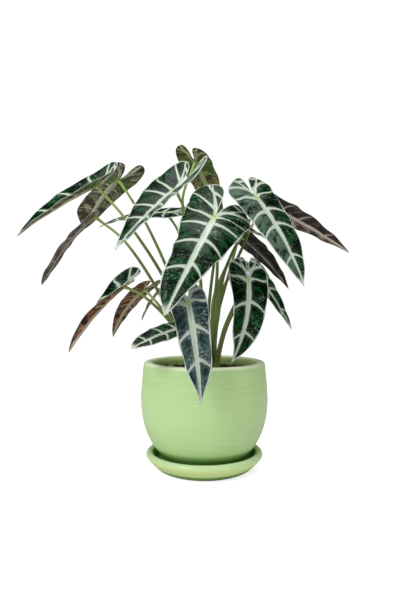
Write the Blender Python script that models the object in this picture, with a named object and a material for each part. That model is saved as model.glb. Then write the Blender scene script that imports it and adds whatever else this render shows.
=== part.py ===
"""Potted alocasia: a glazed pot on its saucer, potting mix, a crown, and leaves on their stalks.

Metres, +Z up.  The origin is the centre of the saucer's flat base, on the pot's axis, and the
plant's best side faces -Y.
"""

import math

import bmesh
import bpy
from mathutils import Matrix, Vector

# Pottery
TURNED_STEPS = 40
SAUCER_BASE_RADIUS = 0.0545
SAUCER_RIM_RADIUS = 0.0733
SAUCER_RIM_ROUND = 0.0047
SAUCER_HEIGHT = 0.0225
SAUCER_FLOOR = 0.0085
SAUCER_DISH_RADIUS = 0.0580
POT_RADIUS = 0.080
POT_HEIGHT = 0.134
POT_WALL = 0.0105
POT_FLOOR = 0.0090
POT_FOOT_RADIUS = 0.045
GAP = 0.0003

# Planting
MIX_TOP = 0.1225
MIX_EDGE_DROP = 0.001
MIX_CLEARANCE = 0.0011
CROWN_RADIUS = 0.024
CROWN_HEIGHT = 0.005

# Leaves, all as parts of a blade's length from its junction to its tip unless metres are named
BLADE_THICKNESS = 0.001
MIDRIB_ROWS = 7
LOBE_ROWS = 3
BLADE_COLUMNS = 2
SINUS = 0.035
SHOULDER = 0.08
EDGE_HEIGHTS = (SHOULDER, 0.345, 0.61, 0.836, 0.95, 1.0)
EDGE_STEPS = 6
ROW_BOW = 0.12
LIFT_REACH = 0.30
HOOK_START = 0.7
STALK_TOP_RADIUS = 0.0016
STALK_BASE_RADIUS = 0.0026
STALK_POINTS = 9
STALK_RISE = 0.005
STALK_JOIN = 0.0032

# One row for each leaf, in metres and degrees:
#   junction, tip: where the stalk joins the blade, and the blade's tip
#   up: the way the top side faces
#   width: how wide the right and the left half are, seen from the stalk with the top side up
#   edge: each half's width further along, at EDGE_HEIGHTS, as a share of its own width
#   round_end: how blunt the rear lobes are; sway: how far the midrib bows to the right;
#   twist: how far the blade is rolled from junction to tip; hook: how far the last part turns aside
#   lobe: how far back the right and the left rear lobe reach, and how far from the middle
#   fold: how far the right and the left half rise from the midrib
#   droop: how far the midrib turns down from junction to tip; arch: how far each half curls down;
#   lift: how far the rear lobes turn up
#   base: where the stalk leaves the crown; via: points that the stalk passes on its way up
LEAVES = {
    "far_left_high": dict(
        junction=(-0.133, -0.020, 0.351), tip=(-0.217, -0.060, 0.284), up=(-0.35, 0.00, 0.93),
        width=(0.21, 0.19), lobe=((0.36, 0.12), (0.20, 0.14)), fold=(55, 8), droop=12, arch=10,
        lift=10,
        base=(-0.014, -0.004), via=[(-0.044, -0.008, 0.225), (-0.098, -0.015, 0.311)]),
    "left_back_high": dict(
        junction=(-0.115, 0.045, 0.373), tip=(-0.179, 0.130, 0.319), up=(-0.05, 0.80, 0.60),
        width=(0.17, 0.205), lobe=((0.38, 0.06), (0.27, 0.13)), fold=(14, 10), droop=30, arch=20,
        edge=((0.90, 0.70, 0.42, 0.16), (0.72, 0.85, 0.86, 0.46)),
        sway=-0.03, lift=10,
        base=(-0.012, 0.008), via=[(-0.034, 0.014, 0.215), (-0.075, 0.035, 0.308)]),
    "left_narrow": dict(
        junction=(-0.141, 0.008, 0.318), tip=(-0.201, -0.015, 0.228), up=(-0.85, -0.06, 0.55),
        width=(0.15, 0.15), lobe=((0.07, 0.07), (0.07, 0.07)), fold=(10, 10), droop=26, arch=12,
        edge=((1.20, 1.40, 1.20, 0.60), (1.20, 1.40, 1.20, 0.60)),
        hook=-0.05,
        base=(-0.017, 0.002), via=[(-0.055, 0.004, 0.215), (-0.101, 0.006, 0.285)]),
    "upper_left": dict(
        junction=(-0.036, -0.010, 0.349), tip=(-0.101, -0.080, 0.266), up=(-0.50, -0.62, 0.60),
        width=(0.27, 0.165), lobe=((0.40, 0.07), (0.43, 0.20)), fold=(32, 16), droop=15, arch=10,
        edge=((0.80, 0.52, 0.235, 0.07), (1.00, 0.85, 0.60, 0.25)),
        round_end=0.50, sway=-0.03, lift=13,
        base=(-0.004, -0.006), via=[(-0.004, -0.009, 0.225), (-0.016, -0.010, 0.300)]),
    "top_back": dict(
        junction=(-0.012, 0.050, 0.399), tip=(0.028, 0.130, 0.314), up=(0.28, 0.78, 0.56),
        width=(0.19, 0.20), lobe=((0.18, 0.09), (0.24, 0.09)), fold=(5, 20), droop=25, arch=20,
        base=(-0.003, 0.008), via=[(-0.016, 0.024, 0.245), (-0.029, 0.045, 0.345)]),
    "centre_front": dict(
        junction=(0.012, -0.060, 0.307), tip=(-0.042, -0.130, 0.194), up=(0.05, -0.80, 0.60),
        width=(0.26, 0.26), lobe=((0.42, 0.15), (0.22, 0.20)), fold=(6, 2), droop=35, arch=25,
        edge=((0.76, 0.62, 0.45, 0.15), (0.80, 0.49, 0.24, 0.09)),
        round_end=0.90, sway=-0.015, lift=8,
        base=(0.005, -0.010), via=[(0.009, -0.022, 0.185), (0.015, -0.044, 0.245)]),
    "left_level": dict(
        junction=(-0.053, 0.070, 0.333), tip=(-0.156, 0.110, 0.318), up=(0.00, -0.40, 0.90),
        width=(0.22, 0.22), lobe=((0.28, 0.12), (0.28, 0.12)), fold=(10, 5), droop=22, arch=15,
        base=(-0.004, 0.014), via=[(-0.018, 0.036, 0.240), (-0.036, 0.060, 0.306)]),
    "right_high": dict(
        junction=(0.061, -0.030, 0.337), tip=(0.115, -0.060, 0.226), up=(0.40, -0.75, 0.50),
        width=(0.26, 0.22), lobe=((0.22, 0.11), (0.19, 0.155)), fold=(6, 12), droop=20, arch=15,
        edge=((0.88, 0.66, 0.36, 0.12), (0.90, 0.72, 0.36, 0.08)),
        round_end=0.95, sway=-0.01,
        base=(0.012, -0.004),
        via=[(0.016, -0.014, 0.215), (0.033, -0.020, 0.266), (0.054, -0.025, 0.305)]),
    "right_back_high": dict(
        junction=(0.078, 0.040, 0.341), tip=(0.198, 0.050, 0.275), up=(0.40, 0.40, 0.82),
        width=(0.18, 0.17), lobe=((0.12, 0.12), (0.30, 0.10)), fold=(15, 10), droop=12, arch=15,
        base=(0.011, 0.005), via=[(0.018, 0.004, 0.205), (0.052, 0.004, 0.285)]),
    "right_dark": dict(
        junction=(0.047, 0.030, 0.297), tip=(0.117, 0.060, 0.226), up=(0.42, 0.45, 0.78),
        width=(0.17, 0.17), lobe=((0.20, 0.11), (0.20, 0.11)), fold=(15, 5), droop=25, arch=15,
        base=(0.004, 0.012), via=[(0.013, 0.018, 0.175), (0.031, 0.026, 0.240)]),
    "right_small": dict(
        junction=(0.022, 0.000, 0.307), tip=(0.080, 0.000, 0.288), up=(0.10, -0.35, 0.93),
        width=(0.20, 0.20), lobe=((0.26, 0.12), (0.26, 0.12)), fold=(20, 20), droop=25, arch=10,
        base=(0.004, 0.001), via=[(0.005, 0.001, 0.190), (0.012, 0.001, 0.255)]),
    "right_low": dict(
        junction=(0.051, -0.055, 0.236), tip=(0.030, -0.060, 0.137), up=(0.10, -0.90, 0.42),
        width=(0.23, 0.23), lobe=((0.21, 0.11), (0.21, 0.105)), fold=(15, 5), droop=22, arch=20,
        edge=((0.74, 0.57, 0.18, 0.04), (0.90, 0.77, 0.40, 0.09)),
        round_end=0.80, sway=-0.065,
        base=(0.015, -0.009), via=[(0.024, -0.024, 0.175), (0.038, -0.038, 0.209)]),
    "right_low_back": dict(
        junction=(0.062, 0.000, 0.251), tip=(0.111, 0.000, 0.173), up=(0.62, -0.62, 0.48),
        width=(0.20, 0.20), lobe=((0.12, 0.12), (0.12, 0.12)), fold=(15, 15), droop=8, arch=15,
        base=(0.017, 0.001), via=[(0.028, 0.002, 0.175), (0.050, 0.002, 0.222)]),
    "front_low": dict(
        junction=(-0.018, -0.110, 0.210), tip=(-0.004, -0.110, 0.095), up=(0.00, -0.95, 0.30),
        width=(0.17, 0.175), lobe=((0.14, 0.10), (0.14, 0.10)), fold=(8, 8), droop=22, arch=20,
        edge=((0.84, 0.64, 0.20, 0.05), (0.86, 0.74, 0.26, 0.05)),
        sway=-0.014,
        base=(-0.003, -0.014), via=[(-0.004, -0.040, 0.158), (-0.014, -0.078, 0.186)]),
    "left_low": dict(
        junction=(-0.098, -0.030, 0.227), tip=(-0.157, -0.060, 0.150), up=(-0.50, -0.60, 0.80),
        width=(0.19, 0.19), lobe=((0.30, 0.02), (0.12, 0.12)), fold=(30, 30), droop=20, arch=10,
        twist=-78,
        base=(-0.017, -0.010), via=[(-0.040, -0.016, 0.180), (-0.075, -0.025, 0.216)]),
    "left_low_back": dict(
        junction=(-0.080, 0.040, 0.225), tip=(-0.129, 0.080, 0.158), up=(-0.50, 0.50, 0.70),
        width=(0.19, 0.19), lobe=((0.22, 0.10), (0.18, 0.10)), fold=(15, 15), droop=25, arch=15,
        sway=-0.04,
        base=(-0.015, 0.014), via=[(-0.036, 0.022, 0.172), (-0.062, 0.034, 0.206)]),
    "left_sliver": dict(
        junction=(-0.045, 0.070, 0.241), tip=(-0.093, 0.120, 0.180), up=(-0.70, -0.05, 0.70),
        width=(0.17, 0.17), lobe=((0.22, 0.12), (0.22, 0.12)), fold=(10, 10), droop=25, arch=15,
        base=(-0.010, 0.019), via=[(-0.018, 0.032, 0.175), (-0.034, 0.056, 0.222)]),
    "left_bottom": dict(
        junction=(-0.024, -0.045, 0.178), tip=(-0.081, -0.090, 0.157), up=(-0.15, -0.65, 0.75),
        width=(0.21, 0.21), lobe=((0.18, 0.10), (0.18, 0.10)), fold=(12, 12), droop=20, arch=15,
        edge=((1.00, 0.90, 0.62, 0.34), (1.00, 0.88, 0.55, 0.30)),
        base=(-0.010, -0.012), via=[(-0.017, -0.022, 0.158)]),
}
EDGE = (0.90, 0.64, 0.32, 0.12)
PLAIN = dict(edge=(EDGE, EDGE), round_end=0.6, twist=0.0, sway=0.0, lift=5, hook=0.0)
LEAVES = {name: {**PLAIN, **leaf} for name, leaf in LEAVES.items()}

FINISHES = {
    "glaze": ((0.45, 0.63, 0.33), 0.35),
    "mix": ((0.03, 0.02, 0.015), 0.95),
    "crown": ((0.22, 0.28, 0.10), 0.60),
    "blade": ((0.02, 0.10, 0.05), 0.35),
    "stalk": ((0.20, 0.28, 0.07), 0.45),
}


def finish(name):
    colour, roughness = FINISHES[name]
    material = bpy.data.materials.new(name)
    material.use_nodes = True
    shader = material.node_tree.nodes["Principled BSDF"]
    shader.inputs["Base Color"].default_value = (*colour, 1.0)
    shader.inputs["Roughness"].default_value = roughness
    shader.inputs["Metallic"].default_value = 0.0
    return material


def place(name, data, material):
    piece = bpy.data.objects.new(name, data)
    data.materials.append(material)
    bpy.context.collection.objects.link(piece)
    return piece


def bezier(a, b, c, d, t):
    s = 1.0 - t
    return s * s * s * a + 3 * s * s * t * b + 3 * s * t * t * c + t * t * t * d


def rounded(points, steps):
    """A smooth curve through the points, with the given number of steps between each two."""
    curve = []
    for i in range(len(points) - 1):
        before = points[max(i - 1, 0)]
        a, d = points[i], points[i + 1]
        after = points[min(i + 2, len(points) - 1)]
        reach = (d - a).length / 3.0
        b, c = a + (d - before).normalized() * reach, d - (after - a).normalized() * reach
        curve += [bezier(a, b, c, d, k / steps) for k in range(steps)]
    return curve + [points[-1]]


def turned(name, outline, material):
    """A closed solid turned about Z; the outline runs from the axis below to the axis above."""
    bm = bmesh.new()
    verts = [bm.verts.new((r, 0.0, z)) for r, z in outline]
    edges = [bm.edges.new(pair) for pair in zip(verts, verts[1:])]
    bmesh.ops.spin(bm, geom=verts + edges, cent=(0, 0, 0), axis=(0, 0, 1),
                   angle=2 * math.pi, steps=TURNED_STEPS)
    bmesh.ops.remove_doubles(bm, verts=bm.verts, dist=1e-6)
    bmesh.ops.recalc_face_normals(bm, faces=bm.faces)
    mesh = bpy.data.meshes.new(name)
    bm.to_mesh(mesh)
    bm.free()
    mesh.shade_smooth()
    mesh.set_sharp_from_angle(angle=math.radians(40))
    return place(name, mesh, material)


def arc(centre, radius, start, end, steps):
    """Points (r, z) along an arc in the turning plane, angles in degrees."""
    points = []
    for k in range(steps + 1):
        a = math.radians(start + (end - start) * k / steps)
        points.append((centre[0] + radius * math.cos(a), centre[1] + radius * math.sin(a)))
    return points


def saucer_outline():
    rim_centre = (SAUCER_RIM_RADIUS - SAUCER_RIM_ROUND, SAUCER_HEIGHT - SAUCER_RIM_ROUND)
    return [
        (0.0, 0.0), (SAUCER_BASE_RADIUS, 0.0), (SAUCER_BASE_RADIUS + 0.0055, 0.0028),
        *arc(rim_centre, SAUCER_RIM_ROUND, -20, 170, 6),
        (SAUCER_DISH_RADIUS + 0.0032, SAUCER_FLOOR + 0.0012),
        (SAUCER_DISH_RADIUS, SAUCER_FLOOR), (0.0, SAUCER_FLOOR),
    ]


def pot_side():
    """The outside of the pot from its foot to its rim, as (r, z)."""
    side = [
        (POT_FOOT_RADIUS, SAUCER_FLOOR + GAP), (0.0550, 0.0190), (0.0645, 0.0305), (0.0725, 0.0455),
        (0.0780, 0.0640), (POT_RADIUS, 0.0837), (0.0787, 0.1060), (0.0762, 0.1275),
    ]
    return [tuple(p) for p in rounded([Vector(p) for p in side], 2)]


def pot_inside(height):
    """The inner wall's radius at a height."""
    side = pot_side()
    for (r0, z0), (r1, z1) in zip(side, side[1:]):
        if z0 <= height <= z1:
            return r0 + (r1 - r0) * (height - z0) / (z1 - z0) - POT_WALL
    return side[-1][0] - POT_WALL


def pot_outline():
    outside = pot_side()
    rim = POT_WALL * 0.5
    rim_centre = (outside[-1][0] - rim - 0.0006, POT_HEIGHT - rim)
    inside = [(pot_inside(z), z) for z in (0.122, 0.105, 0.084, 0.064, 0.045, 0.031)]
    floor = SAUCER_FLOOR + POT_FLOOR
    return [(0.0, SAUCER_FLOOR + GAP), *outside, *arc(rim_centre, rim, 15, 165, 5),
            *inside, (POT_FOOT_RADIUS - 0.004, floor), (0.0, floor)]


def mix_outline():
    floor = SAUCER_FLOOR + POT_FLOOR + GAP
    side = [(pot_inside(z) - MIX_CLEARANCE, z) for z in (0.033, 0.045, 0.064, 0.084, 0.105)]
    edge = (pot_inside(MIX_TOP) - MIX_CLEARANCE, MIX_TOP - MIX_EDGE_DROP)
    return [(0.0, floor), (POT_FOOT_RADIUS - 0.006, floor), *side, edge,
            (CROWN_RADIUS + 0.004, MIX_TOP), (0.0, MIX_TOP)]


def crown_outline():
    base = MIX_TOP + GAP
    return [(0.0, base), (CROWN_RADIUS, base), (CROWN_RADIUS - 0.001, base + 0.6 * CROWN_HEIGHT),
            (CROWN_RADIUS - 0.004, base + CROWN_HEIGHT), (0.0, base + CROWN_HEIGHT)]


def front_edge(front, height):
    """How far out the front margin is at a height, all as parts of the blade's length."""
    for (x0, y0), (x1, y1) in zip(front, front[1:]):
        if y0 <= height <= y1:
            return x0 + (x1 - x0) * (height - y0) / (y1 - y0)
    return 0.0


def half_blade(width, lobe, edge, round_end):
    """Flat rows of one half, from the rib to the margin: the outer rows and the lobe's inner rows."""
    reach, spread = lobe
    rear = Vector((spread, -reach))
    across = Vector((reach, spread)).normalized() * round_end * width
    shoulder = Vector((width, SHOULDER))
    back = [rear, rear + across, Vector((width, SHOULDER - 0.7 * reach)), shoulder]
    margin = [Vector((width * share, height)) for share, height in zip((1.0, *edge, 0.0), EDGE_HEIGHTS)]
    front = rounded(margin, EDGE_STEPS)
    notch = [rear, rear - across * 0.8, Vector((0.02, -0.4 * reach)), Vector((0.0, -SINUS))]
    rib = [rear, rear * 0.7, Vector((0.25 * spread, -0.4 * reach)), Vector((0.0, 0.0))]
    outer, inner = [], []
    for k in range(LOBE_ROWS + MIDRIB_ROWS + 1):
        if k < LOBE_ROWS:
            t = k / LOBE_ROWS
            start, end = bezier(*rib, t), bezier(*back, t)
            inner.append(row(start, bezier(*notch, t), 1, 0.0))
        else:
            t = (k - LOBE_ROWS) / MIDRIB_ROWS
            height = SHOULDER + (1.0 - SHOULDER) * min(1.0, t + 0.22 * t * (1.0 - t))
            start, end = Vector((0.0, t)), Vector((front_edge(front, height), height))
        outer.append(row(start, end, BLADE_COLUMNS, ROW_BOW * (end - start).length))
    inner.append(row(Vector((0.0, 0.0)), Vector((0.0, -SINUS)), 1, 0.0))
    return outer, inner


def row(start, end, columns, bow):
    """Points from one flat place to another, bowed back towards the lobes in the middle."""
    points = []
    for k in range(columns + 1):
        v = k / columns
        points.append(start.lerp(end, v) - Vector((0.0, 4.0 * bow * v * (1.0 - v))))
    return points


def bent(point, side, leaf):
    """Where a flat point goes once its half is folded up, arched, twisted and drooped."""
    x, y = point
    half = 0 if side > 0 else 1
    fold = math.radians(leaf["fold"][half])
    arch = math.radians(leaf["arch"]) / leaf["width"][half]
    across = side * (math.sin(fold) - math.sin(fold - arch * x)) / arch
    across += leaf["sway"] * 4.0 * y * (1.0 - max(y, 0.0))
    rise = (math.cos(fold - arch * x) - math.cos(fold)) / arch
    roll = math.radians(leaf["twist"]) * y
    across, rise = (across * math.cos(roll) - rise * math.sin(roll),
                    across * math.sin(roll) + rise * math.cos(roll))
    turn = math.radians(leaf["droop"])
    along = math.sin(turn * y) / turn + rise * math.sin(turn * y)
    height = (math.cos(turn * y) - 1.0) / turn + rise * math.cos(turn * y)
    height += math.radians(leaf["lift"]) * min(y, 0.0) ** 2 / LIFT_REACH
    across += leaf["hook"] * max(0.0, (y - HOOK_START) / (1.0 - HOOK_START)) ** 2
    return Vector((across, along, height))


def blade_matrix(leaf):
    """Turns and scales the bent blade so that its junction and tip are where they should be."""
    junction, tip, up = (Vector(leaf[key]) for key in ("junction", "tip", "up"))
    reach = bent((0.0, 1.0), 1, {**leaf, "hook": 0.0})
    chord = (tip - junction).normalized()
    side = chord.cross(up).normalized()
    top = side.cross(chord)
    pitch = math.atan2(reach.z, reach.y)
    along = chord * math.cos(pitch) - top * math.sin(pitch)
    normal = top * math.cos(pitch) + chord * math.sin(pitch)
    scale = (tip - junction).length / reach.length
    turn = Matrix((side, along, normal)).transposed() * scale
    return Matrix.Translation(junction) @ turn.to_4x4(), normal


def blade(name, leaf, material):
    matrix, normal = blade_matrix(leaf)
    bm = bmesh.new()
    for side, width, lobe, edge in zip((1, -1), leaf["width"], leaf["lobe"], leaf["edge"]):
        for rows in half_blade(width, lobe, edge, leaf["round_end"]):
            grid = [[bm.verts.new(matrix @ bent(p, side, leaf)) for p in points] for points in rows]
            for low, high in zip(grid, grid[1:]):
                for k in range(len(low) - 1):
                    bm.faces.new((low[k], low[k + 1], high[k + 1], high[k]))
    bmesh.ops.remove_doubles(bm, verts=bm.verts, dist=1e-5)
    bmesh.ops.triangulate(bm, faces=bm.faces)
    bmesh.ops.recalc_face_normals(bm, faces=bm.faces)
    if sum((face.normal for face in bm.faces), Vector()).dot(normal) < 0.0:
        bmesh.ops.reverse_faces(bm, faces=bm.faces)
    mesh = bpy.data.meshes.new(name)
    bm.to_mesh(mesh)
    bm.free()
    mesh.shade_smooth()
    piece = place(name, mesh, material)
    solid = piece.modifiers.new("thickness", "SOLIDIFY")
    solid.thickness = BLADE_THICKNESS
    solid.offset = 0.0
    return piece


def stalk(name, leaf, material):
    """A tapered tube from the crown to just under the blade."""
    base = Vector((*leaf["base"], MIX_TOP + 2 * GAP + CROWN_HEIGHT))
    above = base + Vector((0.0, 0.0, STALK_RISE))
    route = [base, above, *(Vector(p) for p in leaf["via"]), Vector(leaf["junction"])]
    points = rounded(route, 8)
    lengths = [0.0]
    for a, b in zip(points, points[1:]):
        lengths.append(lengths[-1] + (b - a).length)
    total = lengths[-1] - STALK_JOIN
    foot = STALK_RISE / total
    curve = bpy.data.curves.new(name, "CURVE")
    curve.dimensions = "3D"
    curve.bevel_depth = 1.0
    curve.bevel_resolution = 1
    curve.use_fill_caps = True
    spline = curve.splines.new("POLY")
    spline.points.add(STALK_POINTS - 1)
    for k in range(STALK_POINTS):
        share = foot + (1.0 - foot) * (k - 1) / (STALK_POINTS - 2) if k else 0.0
        target = share * total
        i = max(n for n, length in enumerate(lengths[:-1]) if length <= target)
        step = (target - lengths[i]) / (lengths[i + 1] - lengths[i])
        spline.points[k].co = (*points[i].lerp(points[i + 1], step), 1.0)
        taper = (STALK_BASE_RADIUS - STALK_TOP_RADIUS) * (1.0 - share)
        spline.points[k].radius = STALK_TOP_RADIUS + taper
    return place(name, curve, material)


def main():
    for piece in list(bpy.data.objects):
        bpy.data.objects.remove(piece, do_unlink=True)
    materials = {name: finish(name) for name in FINISHES}
    turned("saucer", saucer_outline(), materials["glaze"])
    turned("pot", pot_outline(), materials["glaze"])
    turned("potting_mix", mix_outline(), materials["mix"])
    turned("crown", crown_outline(), materials["crown"])
    for name, leaf in LEAVES.items():
        blade("leaf_" + name, leaf, materials["blade"])
        stalk("stalk_" + name, leaf, materials["stalk"])


main()
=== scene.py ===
# %% [markdown]
# # A potted alocasia
#
# This lesson builds a leafy house plant in a glazed pot.  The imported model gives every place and
# size: where the pot stands, how deep the mix lies, and the box that each leaf fills.  We keep
# those, and put finer shapes and real-looking finishes in their place.
#
# The order is the frame, the camera and light, the pottery, the potting mix, the leaves, their
# stalks and the crown, with the finish that each of them needs on the way.

# %% The frame
import math
import random

import bpy
import numpy as np
from mathutils import Euler, Matrix, Vector, noise


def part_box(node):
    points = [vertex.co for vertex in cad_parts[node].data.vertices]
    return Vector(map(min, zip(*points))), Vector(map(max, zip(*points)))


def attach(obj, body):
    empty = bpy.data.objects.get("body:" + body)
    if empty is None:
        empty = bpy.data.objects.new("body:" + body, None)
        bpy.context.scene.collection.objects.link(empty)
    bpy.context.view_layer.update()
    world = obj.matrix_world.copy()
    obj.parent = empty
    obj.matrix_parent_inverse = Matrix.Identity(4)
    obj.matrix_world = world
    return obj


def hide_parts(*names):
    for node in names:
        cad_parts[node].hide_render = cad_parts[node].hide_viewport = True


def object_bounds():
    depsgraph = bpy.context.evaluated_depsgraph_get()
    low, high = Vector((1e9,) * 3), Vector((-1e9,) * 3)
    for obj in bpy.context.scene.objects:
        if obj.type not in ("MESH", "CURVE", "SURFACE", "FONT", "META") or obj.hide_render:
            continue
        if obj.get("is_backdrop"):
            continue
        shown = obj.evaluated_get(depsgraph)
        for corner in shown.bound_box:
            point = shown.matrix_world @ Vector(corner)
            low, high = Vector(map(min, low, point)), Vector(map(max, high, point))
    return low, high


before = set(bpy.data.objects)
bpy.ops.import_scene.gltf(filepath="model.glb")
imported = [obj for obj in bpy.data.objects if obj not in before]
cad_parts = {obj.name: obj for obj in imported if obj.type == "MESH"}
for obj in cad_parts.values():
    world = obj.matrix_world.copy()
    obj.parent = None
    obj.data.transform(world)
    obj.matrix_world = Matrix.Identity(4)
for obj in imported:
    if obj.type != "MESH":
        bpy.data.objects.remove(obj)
cad_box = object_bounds()
print("frame nodes:", len(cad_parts))


# %% [markdown]
# ## Small helpers
#
# An operator works on everything that is selected, and the frame arrives selected.  So we empty the
# selection before we add anything.  A finished piece rides on the model's one body, and hides the
# plain solids that it stands for.  `smoothstep` fades a number in softly between two limits.

# %% Small helpers
def alone(piece=None):
    """Selects one piece, or nothing."""
    if bpy.context.object and bpy.context.object.mode != "OBJECT":
        bpy.ops.object.mode_set(mode="OBJECT")
    bpy.ops.object.select_all(action="DESELECT")
    if piece:
        bpy.context.view_layer.objects.active = piece
        piece.select_set(True)


def named(name):
    piece = bpy.context.object
    piece.name = name
    piece.data.name = name
    return piece


def kept(piece, slot, *nodes):
    """Puts a finished piece in the model in place of the plain solids."""
    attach(piece, "root")
    if nodes:
        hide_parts(*nodes)
    print(piece.name, len(piece.data.polygons), "faces")


def smoothstep(low, high, value):
    share = np.clip((value - low) / (high - low), 0.0, 1.0)
    return share * share * (3.0 - 2.0 * share)


# %% [markdown]
# ## Camera and light
#
# The plant is seen from straight ahead at half its height, so upright stalks stay parallel and the
# pot's rim is a thin ellipse.  A long lens keeps the leaves that reach forward from growing large.
#
# A plant of dark glossy leaves needs big soft lights: they show as broad pale sheens.  A strong
# lamp stands in front on the left, a weak one on the right, and one hangs overhead.  An even sky
# fills the shadows.  Gloss would mirror that sky and lay a grey veil over the green, so glossy rays
# meet a dimmer one, and the view itself sees plain white behind the plant.

# %% Camera
camera_data = bpy.data.cameras.new("camera")
camera_data.lens = 31.45
camera = bpy.data.objects.new("camera", camera_data)
camera.location = (-0.0048, -0.665, 0.21)
camera.rotation_euler = (math.radians(90.0), 0.0, 0.0)
bpy.context.collection.objects.link(camera)
bpy.context.scene.camera = camera
bpy.context.scene.view_settings.view_transform = "Standard"
print("camera at", tuple(camera.location), "with a", camera_data.lens, "mm lens")


# %% Light
def lamp(name, place, target, size, power):
    data = bpy.data.lights.new(name, "AREA")
    data.shape = "DISK"
    data.size = size
    data.energy = power
    lamp_object = bpy.data.objects.new(name, data)
    lamp_object.location = place
    lamp_object.rotation_euler = (Vector(target) - Vector(place)).to_track_quat("-Z", "Y").to_euler()
    bpy.context.collection.objects.link(lamp_object)
    print(name, "lamp:", power, "W")


lamp("key", (-1.3, -1.5, 1.5), (0.0, 0.0, 0.2), 1.2, 27.0)
lamp("fill", (1.6, -1.2, 0.9), (0.0, 0.0, 0.2), 1.2, 1.2)
lamp("top", (0.1, -0.1, 1.7), (0.0, 0.0, 0.2), 0.9, 16.0)

world = bpy.data.worlds.new("studio")
bpy.context.scene.world = world
world.use_nodes = True
studio = world.node_tree
sky = studio.nodes["Background"]
sky.inputs["Color"].default_value = (1.0, 1.0, 1.0, 1.0)
backdrop = studio.nodes.new("ShaderNodeBackground")
backdrop.inputs["Color"].default_value = (1.0, 1.0, 1.0, 1.0)
backdrop.inputs["Strength"].default_value = 1.05
seen = studio.nodes.new("ShaderNodeLightPath")
dimmed = studio.nodes.new("ShaderNodeMapRange")
dimmed.inputs["To Min"].default_value = 0.44
dimmed.inputs["To Max"].default_value = 0.12
choice = studio.nodes.new("ShaderNodeMixShader")
studio.links.new(seen.outputs["Is Glossy Ray"], dimmed.inputs["Value"])
studio.links.new(dimmed.outputs[0], sky.inputs["Strength"])
studio.links.new(seen.outputs["Is Camera Ray"], choice.inputs[0])
studio.links.new(sky.outputs[0], choice.inputs[1])
studio.links.new(backdrop.outputs[0], choice.inputs[2])
studio.links.new(choice.outputs[0], studio.nodes["World Output"].inputs["Surface"])


# %% Floor
alone()
bpy.ops.mesh.primitive_plane_add(size=6.0, location=(0.0, 0.0, 0.0))
floor = named("floor")
floor_finish = bpy.data.materials.new("pale floor")
floor_finish.use_nodes = True
floor_tree = floor_finish.node_tree
floor_shader = floor_tree.nodes["Principled BSDF"]
floor_shader.inputs["Base Color"].default_value = (0.66, 0.66, 0.66, 1.0)
floor_shader.inputs["Roughness"].default_value = 0.9
floor_shader.inputs["Specular IOR Level"].default_value = 0.0
floor_shader.inputs["Emission Color"].default_value = (1.0, 1.0, 1.0, 1.0)
floor_light = floor_tree.nodes.new("ShaderNodeLightPath")
floor_glow = floor_tree.nodes.new("ShaderNodeMath")
floor_glow.operation = "MULTIPLY"
floor_glow.inputs[1].default_value = 0.75
floor_tree.links.new(floor_light.outputs["Is Camera Ray"], floor_glow.inputs[0])
floor_tree.links.new(floor_glow.outputs[0], floor_shader.inputs["Emission Strength"])
floor.data.materials.append(floor_finish)
floor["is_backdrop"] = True
print("floor:", tuple(round(side, 1) for side in floor.dimensions))


# %% [markdown]
# ## Building a material from nodes
#
# Every finish here is a Principled shader with a few nodes in front of it.  `Nodes` is a short way
# to write them: it adds a node, sets its numbers and links its inputs in one call.

# %% A short way to write nodes
class Nodes:
    def __init__(self, tree):
        self.tree = tree

    def add(self, kind, inputs=(), **settings):
        node = self.tree.nodes.new("ShaderNode" + kind)
        for key, value in settings.items():
            setattr(node, key, value)
        for key, value in dict(inputs).items():
            if isinstance(value, bpy.types.NodeSocket):
                self.tree.links.new(value, node.inputs[key])
            else:
                node.inputs[key].default_value = value
        return node

    def maths(self, operation, a, b=0.0):
        return self.add("Math", {0: a, 1: b}, operation=operation).outputs[0]

    def mask(self, value, low, high):
        """Nought at low and one at high, with soft ends."""
        inputs = {"Value": value, "From Min": low, "From Max": high}
        return self.add("MapRange", inputs, interpolation_type="SMOOTHSTEP").outputs[0]

    def blend(self, share, first, second):
        node = self.add("Mix", data_type="RGBA")
        for key, value in ((0, share), (6, first), (7, second)):
            if isinstance(value, bpy.types.NodeSocket):
                self.tree.links.new(value, node.inputs[key])
            else:
                node.inputs[key].default_value = value
        return node.outputs[2]

    def noise(self, place, scale, detail=3.0, roughness=0.55):
        inputs = {"Vector": place, "Scale": scale, "Detail": detail, "Roughness": roughness}
        return self.add("TexNoise", inputs).outputs["Fac"]

    def attribute(self, name):
        return self.add("Attribute", attribute_name=name).outputs["Fac"]


def finish(name, roughness):
    """A new material, its nodes and its shader."""
    material = bpy.data.materials.new(name)
    material.use_nodes = True
    shader = material.node_tree.nodes["Principled BSDF"]
    shader.inputs["Roughness"].default_value = roughness
    shader.inputs["Metallic"].default_value = 0.0
    return material, Nodes(material.node_tree), shader


def feed(nodes, shader, **outputs):
    for key, value in outputs.items():
        nodes.tree.links.new(value, shader.inputs[key.replace("_", " ")])


def shade(red, green, blue):
    """A screen colour from 0 to 255 as the linear colour that a shader takes."""
    linear = []
    for level in (red, green, blue):
        value = level / 255.0
        linear.append(value / 12.92 if value <= 0.04045 else ((value + 0.055) / 1.055) ** 2.4)
    return (*linear, 1.0)


# %% [markdown]
# ## Turned pottery
#
# The pot and its saucer are thrown on a wheel, so one outline turned about the axis gives each of
# them.  A Spin would do it; here a filled circle is extruded ring by ring and scaled, as by hand,
# which leaves both flat caps closed from the start.  The pot's outline stops inside at a height that
# the mix hides, so its deep inside isn't made.  The saucer's foot is narrow, and its side leans out
# to a fat rim.

# %% A turned shape
TURNED_SIDES = 128


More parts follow.
